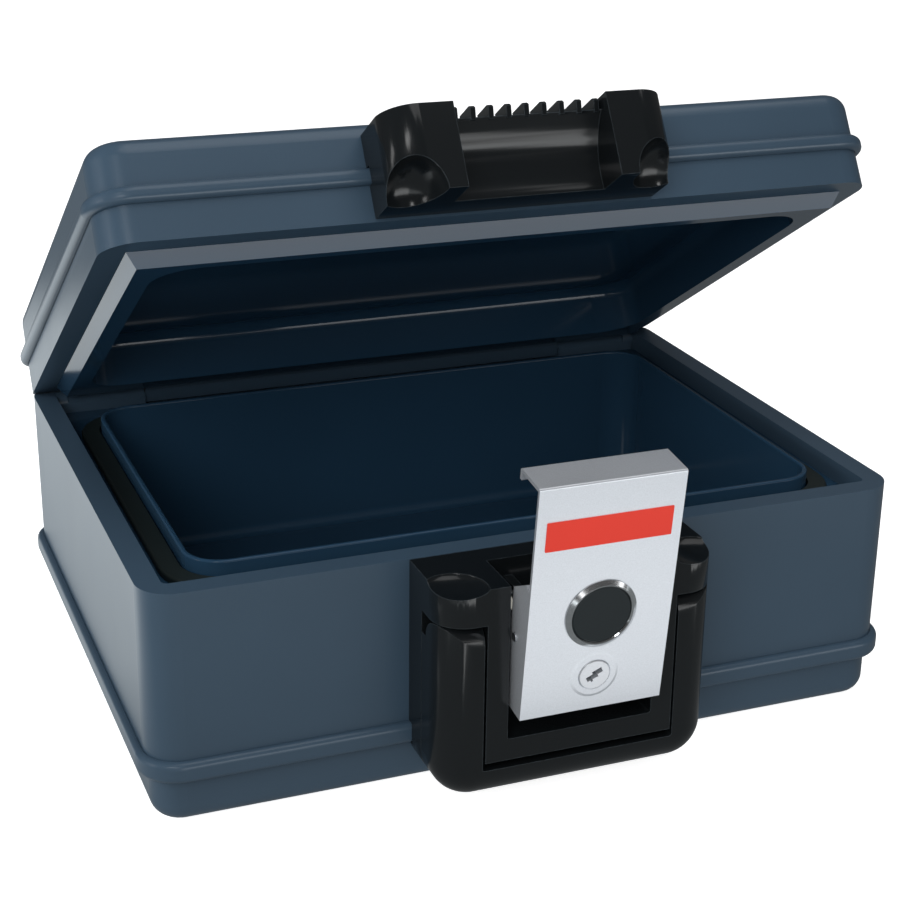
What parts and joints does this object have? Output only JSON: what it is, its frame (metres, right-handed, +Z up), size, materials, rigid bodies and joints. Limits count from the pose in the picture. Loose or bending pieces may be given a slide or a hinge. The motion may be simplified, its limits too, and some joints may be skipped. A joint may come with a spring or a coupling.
{
  "type": "fireproof document box",
  "caption": "Small fire-resistant document chest: insulated base and hinged lid, draw latch with push button and key lock, and a swing carry handle; lid open and latch released.",
  "frame": {"origin": "centre of the base's flat bottom face", "axes": "+X right seen from the front, +Y back towards the hinge, +Z up"},
  "size_m": [0.3692, 0.3597, 0.3005],
  "materials": {
    "shell_plastic": "semi-gloss slate blue moulding",
    "liner_plastic": "glossy dark navy moulding",
    "black_plastic": "satin-gloss black moulding",
    "cast_filling": "dull cast mineral filling",
    "gasket_rubber": "soft dark rubber",
    "latch_metal": "satin silver",
    "plug_metal": "satin steel",
    "ring_chrome": "polished",
    "button_plastic": "dark slate satin",
    "label_red": "plain red",
    "pin_steel": "bright drawn steel",
    "spring_steel": "drawn wire",
    "screw_steel": "plated"
  },
  "bodies": {
    "base": {"base_shell": "shell_plastic", "base_bottom_pan": "shell_plastic", "base_insulation": "cast_filling", "base_liner": "liner_plastic", "base_gasket": "gasket_rubber", "hinge_pin": "pin_steel", "escutcheon": "black_plastic", "escutcheon_screws": "screw_steel", "handle_pivot_pins": "pin_steel", "link_pivot_pin": "pin_steel"},
    "handle": {"handle": "black_plastic"},
    "links": {"latch_links": "screw_steel", "latch_pivot_pin": "pin_steel", "latch_spring": "spring_steel"},
    "latch": {"latch_plate": "latch_metal", "latch_label": "label_red", "button_bezel": "ring_chrome", "button_guide": "black_plastic", "button_spring": "spring_steel", "lock_barrel": "latch_metal", "lock_nut": "screw_steel"},
    "button": {"button_cap": "button_plastic"},
    "lock_core": {"lock_plug": "plug_metal", "lock_cam": "screw_steel"},
    "lid": {"lid_skirt": "shell_plastic", "lid_cover": "shell_plastic", "lid_insulation": "cast_filling", "lid_liner": "liner_plastic", "lid_housing": "black_plastic", "lid_housing_screws": "screw_steel"}
  },
  "joints": [
    {"name": "lid_hinge", "type": "hinge", "parent": "base", "child": "lid", "pos_m": [0, 0.1264, 0.106], "axis": [-1, 0, 0], "range_deg": [-31.65, 56]},
    {"name": "link_swing", "type": "hinge", "parent": "base", "child": "links", "pos_m": [0, -0.1588, 0.0985], "axis": [1, 0, 0], "range_deg": [0, 63.85]},
    {"name": "latch_tilt", "type": "hinge", "parent": "links", "child": "latch", "pos_m": [0, -0.17918, 0.08872], "axis": [-1, 0, 0], "range_deg": [0, 70.96]},
    {"name": "handle_swing", "type": "hinge", "parent": "base", "child": "handle", "pos_m": [0, -0.1675, 0.0845], "axis": [-1, 0, 0], "range_deg": [0, 88]},
    {"name": "button_press", "type": "slide", "parent": "latch", "child": "button", "axis": [0, 0.9923, 0.1236], "range_m": [0, 0.0025], "deforming": ["button_spring"]},
    {"name": "lock_turn", "type": "hinge", "parent": "latch", "child": "lock_core", "pos_m": [0, -0.18864, 0.06979], "axis": [0, 0.9923, 0.1236], "range_deg": [0, 90]}
  ],
  "couplings": [
    {"joint": "latch_tilt", "follows": "link_swing", "ratio": 1.1112}
  ]
}
